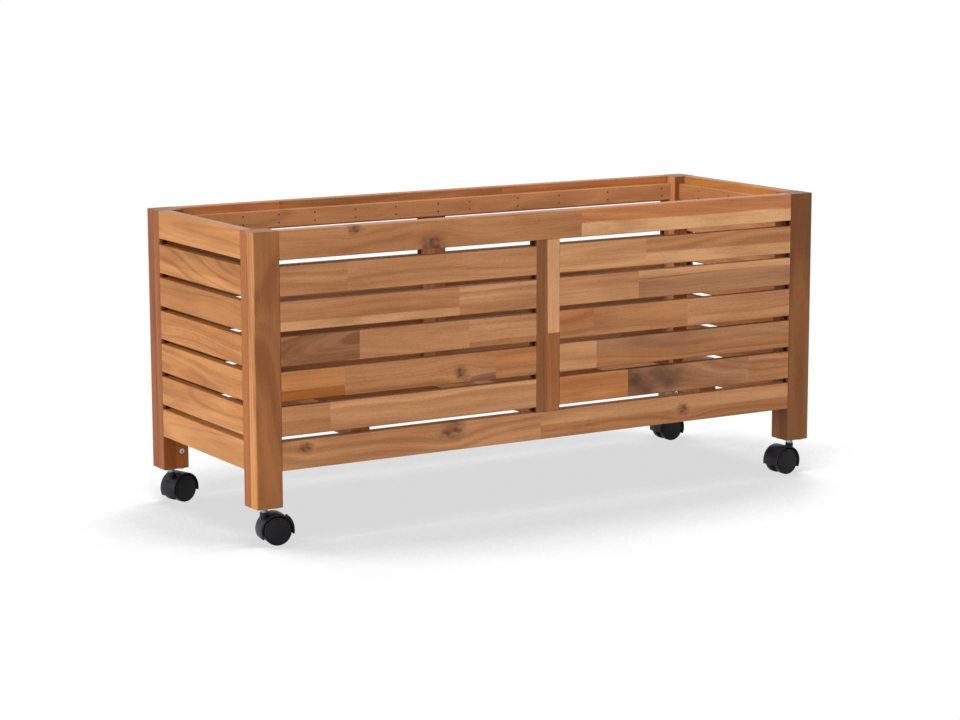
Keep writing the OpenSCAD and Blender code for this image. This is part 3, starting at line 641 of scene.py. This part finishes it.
# %% Front staves
# the boards end 435 mm to either side of the middle
END = 435
FRONT = {
    "front_top_rail": [
        stave(-260, "brown", knot=(-319, 16, 8), runs_on=True), stave(54, "brown", knot=(-195, -13, 14)),
        stave(END, "orange", "straw", 0.49, 0.2)],
    "front_slat_left_5": [stave(-331, "honey", "brown", 0.4), stave(-23, "honey")],
    "front_slat_right_5": [stave(167, "light"), stave(END, "brown", "yellow", 0.45, 0.2)],
    "front_slat_left_4": [stave(-152, "brown", "yellow", 0.31, 0.3), stave(-23, "pale", "brown", 0.4, 0.4)],
    "front_slat_right_4": [stave(155, "honey", "pale", 0.5), stave(END, "yellow", "grey", 0.75, 0.4)],
    "front_slat_left_3": [stave(-313, "walnut", "walnut", 0.5, 1.1), stave(-136, "honey"),
                          stave(-23, "pale", "russet", 0.22)],
    "front_slat_right_3": [stave(76, "red", "brown", 0.5, 0.5), stave(244, "brown"),
                           stave(END, "honey", figure=0.5)],
    "front_slat_left_2": [stave(-337, "amber", "rust", 0.35, 0.4),
                          stave(-136, "brown", "russet", 0.27, 0.3, knot=(-149, -6.5, 9), runs_on=True),
                          stave(-92, "brown", "plum", 0.27, 0.3, knot=(-149, -6.5, 9)),
                          stave(-23, "red", "russet", 0.5)],
    "front_slat_right_2": [stave(81, "light"), stave(END, "grey", "russet", 0.5, 0.35)],
    "front_slat_left_1": [stave(-360, "honey", "russet", 0.5), stave(-23, "light", "pale", 0.4)],
    "front_slat_right_1": [stave(137, "red", "amber", 0.5),
                           stave(359, "grey", "grey", 0.5, 1.1, knot=(176, 6, 44)),
                           stave(END, "honey", "russet", 0.8, 0.7)],
    "front_bottom_rail": [stave(-290, "honey", "honey", 0.5, 0.3, knot=(-399, 10, 8), runs_on=True),
                          stave(-16, "honey", "honey", 0.5, 0.3, knot=(-164, 11, 15)),
                          stave(END, "pale", "russet", 0.5, 0.4, knot=(237, 0, 8))],
    "front_centre_stile": [stave(260, "umber", "chestnut", 0.36, 0.4),
                           stave(400, "yellow", "chestnut", 0.46, 0.3)],
}

# shares of painted shade: between slats, beside a centre stile, between the left end's slats, inside the back
PAINTED_GAP_SHADE = 0.5
PAINTED_STILE_SHADE = 0.6
PAINTED_LEFT_GAP_SHADE = 0.15
PAINTED_INSIDE_SHADE = 0.4
for name, staves in FRONT.items():
    if "stile" in name:
        lone_board(name, "z", "y", staves, PAINTED_STILE_SHADE, True)
    else:
        lone_board(name, "x", "y", staves, PAINTED_GAP_SHADE if "slat" in name else 0.0)
print("front boards:", len(FRONT))


# %% [markdown]
# ## Back and ends
# The picture shows the left end and the inside of the back's top rail, so their tones are listed. The
# right end and the back's centre stile are hidden, and get plain listed tones as well. The back's slats and
# bottom rail are drawn by lot from the same tones, with a fixed seed, so they come out the same each time.

# %% Staves by lot
LOT = np.random.default_rng(20)
COMMON = ["honey", "light", "brown", "orange", "russet", "yellow", "grey", "red", "umber"]
SHORTEST = 60


def drawn_staves(low, high, most):
    """Cuts a board into 1 to most staves, in millimetres, and draws the looks of each."""
    count = LOT.integers(1, most + 1)
    cuts = np.sort(LOT.uniform(low + SHORTEST, high - SHORTEST, count - 1)) if count > 1 else np.array([])
    result = []
    for end in [*cuts, high]:
        upper, lower = LOT.choice(COMMON, 2)
        edge = LOT.uniform(0.25, 0.75) if LOT.random() < 0.35 else 0.0
        result.append(stave(end, upper, lower if edge else upper, edge, LOT.uniform(0.15, 0.6)))
    return result


# %% Rows of slats
LEVELS = [span("front_slat_left_%d" % i, "x") for i in range(1, 6)]


def slat_rows(node, grain, deep, staves_of):
    """Five boards at the heights of the front slats, inside the box of a node that holds all five."""
    low, high = span(node, grain)
    rows = []
    for number, (level_low, level_high) in enumerate(LEVELS):
        low[2], high[2] = level_low[2], level_high[2]
        rows.append((grain, deep, low.copy(), high.copy(), staves_of(number, low, high)))
    return rows


def back_staves(number, low, high):
    """One or two staves by lot for a back slat."""
    return drawn_staves(low[0] / MM, high[0] / MM, 2)


# %% Back
for name in ("back_slats_left", "back_slats_right"):
    rows = slat_rows(name, "x", "y", back_staves)
    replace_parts(build_boards(name + "_boards", rows, PAINTED_GAP_SHADE, inside=PAINTED_INSIDE_SHADE), name)
lone_board("back_bottom_rail", "x", "y", drawn_staves(-END, END, 3))
lone_board("back_top_rail", "x", "y",
           [stave(-270, "orange", figure=0.3), stave(120, "russet", figure=0.4), stave(END, "red")])
lone_board("back_centre_stile", "z", "y", [stave(400, "umber", "brown", 0.5)], PAINTED_STILE_SHADE, True)
print("back boards made")


# %% Ends
SIDE_END = span("left_top_rail", "y")[1][1] / MM
SIDE_SLATS = {
    "left": [("gold", "pale gold", 0.4, 0.5), ("gold", "brown gold", 0.4, 0.4),
             ("brown gold", "gold", 0.5, 0.45), ("deep gold", "deep gold", 0.45, 0.35),
             ("deep gold", "gold", 0.36, 0.9)],
    "right": [("russet",), ("red", "russet", 0.4), ("honey",), ("pale", "honey", 0.5), ("light",)],
}
for side, tones in SIDE_SLATS.items():
    rows = slat_rows(side + "_slats", "y", "x", lambda number, low, high: [stave(SIDE_END, *tones[number])])
    painted_shade = PAINTED_LEFT_GAP_SHADE if side == "left" else PAINTED_GAP_SHADE
    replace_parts(build_boards(side + "_slat_boards", rows, painted_shade), side + "_slats")
SIDE_RAILS = {"left_top_rail": ("gold", "pale gold", 0.35), "left_bottom_rail": ("pale gold",),
              "right_top_rail": ("gold",), "right_bottom_rail": ("brown",)}
for name, tones in SIDE_RAILS.items():
    lone_board(name, "y", "x", [stave(SIDE_END, *tones)])
print("end boards made")


# %% [markdown]
# ## Posts, battens and floor
# Posts, battens, cleats and floor bars could be built like the other boards, but they keep the frame's own
# shapes, because the bolt holes and nail holes in them are real. Each node gets its own tone and seed, so no
# two match.

# %% Materials of the frame's own boards
# upper and lower tone, the place where they meet, in millimetres from the middle, and the figure
POSTS = {
    "front_left_post_outer": ("umber", "pale gold", -18.8, 0.5),
    "front_left_post_inner": ("rust", "rust", 0, 0.3),
    # the darker lower tone, on this post's side face towards the middle, is painted shade
    "front_right_post_outer": ("sepia", "dark rust", -18.8, 0.4),
    "front_right_post_inner": ("sepia", "sepia", 0, 0.3),
    "back_left_post_outer": ("rust", "deep rust", 4, 0.5),
    "back_left_post_inner": ("rust", "deep rust", 0, 0.5),
    "back_right_post_outer": ("red", "umber", 5, 0.3),
    "back_right_post_inner": ("chestnut", "honey", -18.8, 0.3),
}
# where the painted groove shade lies on each post
END_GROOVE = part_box("left_top_rail")[0][0] + GROOVE_MIDDLE
for number, (node, (upper, lower, edge, figure)) in enumerate(POSTS.items()):
    low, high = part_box(node)
    middle = (low[0] + high[0]) / 2
    left, back = "left" in node, "back" in node
    if "outer" in node:
        groove = ("x", 1 if left else -1, "y", high[1] - GROOVE_MIDDLE if back else low[1] + GROOVE_MIDDLE)
    else:
        groove = ("y", -1 if back else 1, "x", END_GROOVE if left else -END_GROOVE)
    NODES[node].material_slots[0].material = node_timber(
        "oiled " + node.replace("_", " "), "z", WOOD[upper], WOOD[lower], edge * MM, figure,
        5.3 * number + 2.0, middle, groove=groove)

OTHER_TIMBER = {
    "long_liner_battens": ("x", "apricot", "y"), "end_liner_battens": ("y", "brown", "x"),
    "floor_cleats": ("x", "umber", "y"), "floor_bars": ("y", "light", "z"),
}
for number, (node, (grain, tone, deep)) in enumerate(OTHER_TIMBER.items()):
    low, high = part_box(node)
    across = AXES.index((set(AXES) - {grain, deep}).pop())
    NODES[node].material_slots[0].material = node_timber(
        "oiled " + node.replace("_", " "), grain, WOOD[tone], seed=50.0 + 7.1 * number, deep=deep,
        middle=(low[across] + high[across]) / 2, edge=-1.0)
print("posts and battens:", len(POSTS) + len(OTHER_TIMBER))


# %% [markdown]
# ## Metal and plastic
# Zinc plating is a bright grey that clouds a little, and a darker zinc goes on the casters' plates and stems
# and on the bar screws.
# The nails have darkened in the oil, and the casters are moulded in black plastic whose skin has a very fine
# grain. Plain colours would look painted. One group makes a cloudy tone and a grained height, and each
# material sets its own values.

# %% Skins for metal and plastic
CLOUDS_PER_METRE = 90.0
CLOUD_ROUGHNESS = 0.25


def build_skin():
    """Tone wanders between two colours with slow noise; height is fine noise of the given pitch."""
    tree, given, result = start_group(
        "cloudy skin", [("Light", "Color"), ("Dark", "Color"), ("Rough", "Float"), ("Pitch", "Float")],
        [("Colour", "Color"), ("Roughness", "Float"), ("Height", "Float")])
    where = place(tree, "TexCoord").outputs["Object"]
    cloud = noise(tree, where, (CLOUDS_PER_METRE,) * 3, 1.0, 3.0)
    scaled = vector_calc(tree, "SCALE", where)
    feed(tree, scaled.node.inputs["Scale"], given["Pitch"])
    grain = noise(tree, scaled, (1.0, 1.0, 1.0), 2.0, 1.0)
    feed(tree, result["Colour"], blend(tree, ramp(tree, cloud, 0.3, 0.7), given["Dark"], given["Light"]))
    rough = calc(tree, "MULTIPLY_ADD", calc(tree, "SUBTRACT", cloud, 0.5), CLOUD_ROUGHNESS, given["Rough"])
    feed(tree, result["Roughness"], rough)
    feed(tree, result["Height"], grain)
    return tree


SKIN = build_skin()
print("skin group:", len(SKIN.nodes), "nodes")


# %% Metal and plastic materials
def skin_material(name, light, dark, rough, pitch, metallic=0.0, gloss=0.5):
    """A material on the cloudy skin group."""
    material, tree, node = start_material(name, SKIN)
    for socket, value in (("Light", linear(light)), ("Dark", linear(dark)), ("Rough", rough),
                          ("Pitch", pitch)):
        node.inputs[socket].default_value = value
    finish_surface(tree, node, Metallic=metallic, Specular_IOR_Level=gloss)
    return material


MOULDED = skin_material("moulded black plastic", "#1B1B1F", "#131316", 0.40, 2600.0, gloss=0.22)
TREAD = skin_material("black wheel plastic", "#17171A", "#111113", 0.46, 1900.0, gloss=0.18)
ZINC = skin_material("zinc plating", "#D2D4D4", "#B4B7B8", 0.34, 900.0, 1.0)
# a darker zinc than the plating, on the casters' plates and stems and on the bar screws
DIM_ZINC = skin_material("dim zinc", "#8E9091", "#6E7173", 0.42, 900.0, 1.0)
DULLED = skin_material("dulled nail heads", "#4E3222", "#382318", 0.55, 1500.0)
FINISH = {"corner_bolts": ZINC, "nails": DULLED, "plate_screws": ZINC, "bar_screws": DIM_ZINC,
          "corner_inserts": ZINC, "caster_plates": DIM_ZINC, "caster_stems": DIM_ZINC}
CORNERS = ["front_left", "front_right", "back_left", "back_right"]
for corner in CORNERS:
    FINISH[corner + "_caster_axle"] = ZINC
for node, material in FINISH.items():
    NODES[node].material_slots[0].material = material
print("hardware nodes finished:", len(FINISH))


# %% [markdown]
# ## Caster bodies and brake lever
# The hood of a caster is moulded, so none of its edges is sharp, and the light catches them as fine grey
# lines. It could be modelled anew, but a copy of the built solid fits the wheels for certain. The copy is
# merged, its flat faces are joined again, and a bevel rounds what is left.

# %% Softened copies of built parts
MERGE_WITHIN = 0.002 * MM
FLAT_WITHIN = np.radians(0.6)
SHARP_OVER = np.radians(32)
HOOD_EASE = 0.45 * MM
PEDAL_EASE = 0.5 * MM


def softened(node, name, material, body, width):
    """Merges a copy of a node's loose triangles, joins flat neighbours and bevels the sharp edges."""
    mesh = NODES[node].data.copy()
    work = bmesh.new()
    work.from_mesh(mesh)
    bmesh.ops.remove_doubles(work, verts=work.verts, dist=MERGE_WITHIN)
    bmesh.ops.dissolve_limit(work, angle_limit=FLAT_WITHIN, verts=work.verts, edges=work.edges)
    work.to_mesh(mesh)
    work.free()
    mesh.materials.clear()
    mesh.materials.append(material)
    piece = bpy.data.objects.new(name, mesh)
    bpy.context.scene.collection.objects.link(piece)
    bevel = piece.modifiers.new("eased edges", "BEVEL")
    bevel.width = width
    bevel.segments = 2
    bevel.limit_method = "ANGLE"
    bevel.angle_limit = SHARP_OVER
    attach(piece, body)
    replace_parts(piece, node)
    return piece


for corner in CORNERS:
    softened(corner + "_caster_body", corner + "_caster_hood", MOULDED, corner + "_swivel",
             HOOD_EASE)
softened("brake_lever", "brake_pedal", MOULDED, "brake_lever", PEDAL_EASE)
print("caster bodies:", len(CORNERS))


# %% [markdown]
# ## Wheels
# The tread of a wheel is rounded at both sides, the outer face has a fine groove inside its rim and a low
# dome, and the inner face is hollow round its hub. A Screw modifier could turn the half profile round the
# axle; two arrays do the same here, so the formula is seen. The profile starts and ends on the axis, so the
# surface is closed.

# %% The wheel's profile
TREAD_ROUND = 1.6 * MM
BORE_WALL = 3 * MM
RIM_WALL = 4 * MM
GROOVE = 2.6 * MM
GROOVE_WIDE = 0.5 * MM
GROOVE_DEEP = 0.45 * MM
DOME_SHARE = 0.117
HOLLOW_SHARE = 0.6


def wheel_profile(radius, inner, outer, bore, reach):
    """Radius and place along the axle, from the bottom of the bore out to the tread and back to the middle of
    the dome; inner and outer are the places of the two faces, and the dome is a parabola."""
    angle = np.radians(np.linspace(90, 0, 7))
    dome = (outer - inner) * DOME_SHARE
    flat = outer - dome
    hollow = inner + (flat - inner) * HOLLOW_SHARE
    rim = radius - RIM_WALL
    inner_round = np.stack([radius - TREAD_ROUND + TREAD_ROUND * np.cos(angle),
                            inner + TREAD_ROUND - TREAD_ROUND * np.sin(angle)], axis=1)
    outer_round = np.stack([radius - TREAD_ROUND + TREAD_ROUND * np.cos(angle[::-1]),
                            flat - TREAD_ROUND + TREAD_ROUND * np.sin(angle[::-1])], axis=1)
    face = radius - GROOVE - GROOVE_WIDE
    share = np.linspace(1, 0, 10)
    domed = np.stack([face * share, flat + dome * (1 - share ** 2)], axis=1)
    groove = [[radius - GROOVE + 0.35 * MM, flat], [radius - GROOVE + 0.2 * MM, flat - GROOVE_DEEP],
              [face + 0.05 * MM, flat - GROOVE_DEEP]]
    start = [[0, reach], [bore, reach], [bore, inner], [bore + BORE_WALL, inner], [bore + BORE_WALL, hollow],
             [rim, hollow], [rim, inner]]
    return np.concatenate([start, inner_round, outer_round, groove, domed])


# %% The profile turned round the axle
TURN_STEPS = 96


def turned(profile, centre, axis):
    """Point (i, k) is centre + place_i times the axis + radius_i times the unit circle at angle k."""
    axis = np.array(axis) / np.linalg.norm(axis)
    side = np.array([0.0, 0.0, 1.0])
    other = np.cross(axis, side)
    angles = np.linspace(0, 2 * np.pi, TURN_STEPS, endpoint=False)
    ring = np.cos(angles)[:, None] * side + np.sin(angles)[:, None] * other
    rings = profile[1:-1]
    body = centre + rings[:, 1, None, None] * axis + rings[:, 0, None, None] * ring
    poles = centre + profile[[0, -1], 1, None] * axis
    points = np.concatenate([body.reshape(-1, 3), poles])
    index = np.arange(len(rings) * TURN_STEPS).reshape(len(rings), TURN_STEPS)
    following = np.roll(index, -1, axis=1)
    quads = np.stack([index[:-1], index[1:], following[1:], following[:-1]], axis=-1).reshape(-1, 4)
    first, last = len(points) - 2, len(points) - 1
    start = np.stack([np.full(TURN_STEPS, first), index[0], following[0]], axis=1)
    finish = np.stack([np.full(TURN_STEPS, last), following[-1], index[-1]], axis=1)
    return points, quads.tolist() + start.tolist() + finish.tolist()


# %% Eight wheels
# each wheel's axle comes from its joint, and its sizes are measured on the corners of the built part. Known
# fault: the smallest radius off the axis is taken for the bore's, but it is that of a corner near the middle
# of the dome, so the hole is drawn too narrow and too deep, and the hub too thin
OFF_AXIS = 0.5 * MM
SAME_RADIUS = 0.05 * MM
SPINS = {joint["child"]: joint for joint in frame["record"]["behaviour"]["joints"]}
for corner in CORNERS:
    for number in (1, 2):
        node = "%s_caster_wheel_%d" % (corner, number)
        joint = SPINS["%s_wheel_%d" % (corner, number)]
        centre = np.array(joint["pos_m"])
        corners = np.array([vertex.co for vertex in NODES[node].data.vertices])
        axis = np.array(joint["axis"])
        axis = axis * np.sign(np.median((corners - centre) @ axis))
        places = (corners - centre) @ axis
        radii = np.linalg.norm(corners - centre - places[:, None] * axis, axis=1)
        bore = radii[radii > OFF_AXIS].min()
        reach = places[np.abs(radii - bore) < SAME_RADIUS].max()
        profile = wheel_profile(radii.max(), places.min(), places.max(), bore, reach)
        points, faces = turned(profile, centre, axis)
        wheel = new_piece(node + "_turned", points, faces, TREAD, "%s_wheel_%d" % (corner, number))
        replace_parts(wheel, node)
print("wheel: radius %.1f mm, bore %.2f mm, width %.1f mm"
      % (radii.max() / MM, bore / MM, (places.max() - places.min()) / MM))


# %% [markdown]
# ## Light and floor
# The planter stands on white in even daylight that is stronger from the left. A sky of plain grey fills all
# sides, and one broad lamp adds the left side. The floor is seen as white paper with one wide soft shadow. A
# lit floor would take the lamp's own shadow too, which the picture doesn't have. So an Ambient Occlusion node
# tells how much of the sky a place on the floor sees, and that sets its tone.

# %% Sky and lamp
SKY_LEVEL = 0.72
KEY_LEVEL = 2.2
KEY_FROM = Vector((-1.0, -0.30, 0.38))
KEY_SPREAD = np.radians(50)

scene = bpy.context.scene
scene.view_settings.view_transform = "Standard"


def seen(tree):
    """1 for rays that come from the camera, directly or through metal or glass, else 0."""
    rays = place(tree, "LightPath").outputs
    return calc(tree, "MAXIMUM", rays["Is Camera Ray"],
                calc(tree, "MAXIMUM", rays["Is Glossy Ray"], rays["Is Transmission Ray"]))


world = bpy.data.worlds.new("studio")
world.use_nodes = True
scene.world = world
tree = world.node_tree
tree.nodes.clear()
# the sky lights the planter at its level, but is seen as full white
strength = calc(tree, "MULTIPLY_ADD", seen(tree), 1.0 - SKY_LEVEL, SKY_LEVEL)
background = place(tree, "Background", Color=(1.0, 1.0, 1.0, 1.0), Strength=strength)
tree.links.new(background.outputs[0], tree.nodes.new("ShaderNodeOutputWorld").inputs["Surface"])

key_data = bpy.data.lights.new("broad key", "SUN")
key_data.energy = KEY_LEVEL
key_data.angle = KEY_SPREAD
key = bpy.data.objects.new("broad key", key_data)
scene.collection.objects.link(key)
key.rotation_euler = (-KEY_FROM).to_track_quat("-Z", "Y").to_euler()
print("sky at", SKY_LEVEL, "and lamp at", KEY_LEVEL)


# %% Floor
FLOOR_REACH = 8.0
SHADOW_TONE = 0.69
OPEN_SKY = 0.75
CLOSED_SKY = 0.66
SHADOW_REACH = 2.0
BOUNCED_LIGHT = (0.8, 0.8, 0.8, 1.0)

floor_mesh = bpy.data.meshes.new("floor")
corner_signs = np.array([[-1, -1], [1, -1], [1, 1], [-1, 1]]) * FLOOR_REACH
floor_mesh.from_pydata([(x, y, 0.0) for x, y in corner_signs], [], [(0, 1, 2, 3)])
floor = bpy.data.objects.new("floor", floor_mesh)
scene.collection.objects.link(floor)
floor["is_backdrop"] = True

paper = bpy.data.materials.new("white floor")
paper.use_nodes = True
tree = paper.node_tree
tree.nodes.clear()
matte = place(tree, "BsdfDiffuse", Color=BOUNCED_LIGHT)
sky_share = place(tree, "AmbientOcclusion", {"samples": 16}, Distance=SHADOW_REACH).outputs["AO"]
open_share = ramp(tree, sky_share, CLOSED_SKY, OPEN_SKY)
tone = calc(tree, "MULTIPLY_ADD", open_share, 1.0 - SHADOW_TONE, SHADOW_TONE)
glow = place(tree, "Emission", Color=(1.0, 1.0, 1.0, 1.0), Strength=tone)
either = place(tree, "MixShader")
feed(tree, either.inputs[0], seen(tree))
tree.links.new(matte.outputs[0], either.inputs[1])
tree.links.new(glow.outputs[0], either.inputs[2])
tree.links.new(either.outputs[0], tree.nodes.new("ShaderNodeOutputMaterial").inputs["Surface"])
floor_mesh.materials.append(paper)

# the lamp lights the pieces only, so its own shadow stays off the floor
lit = bpy.data.collections.new("lit by the key")
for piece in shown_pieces():
    lit.objects.link(piece)
key.light_linking.receiver_collection = lit
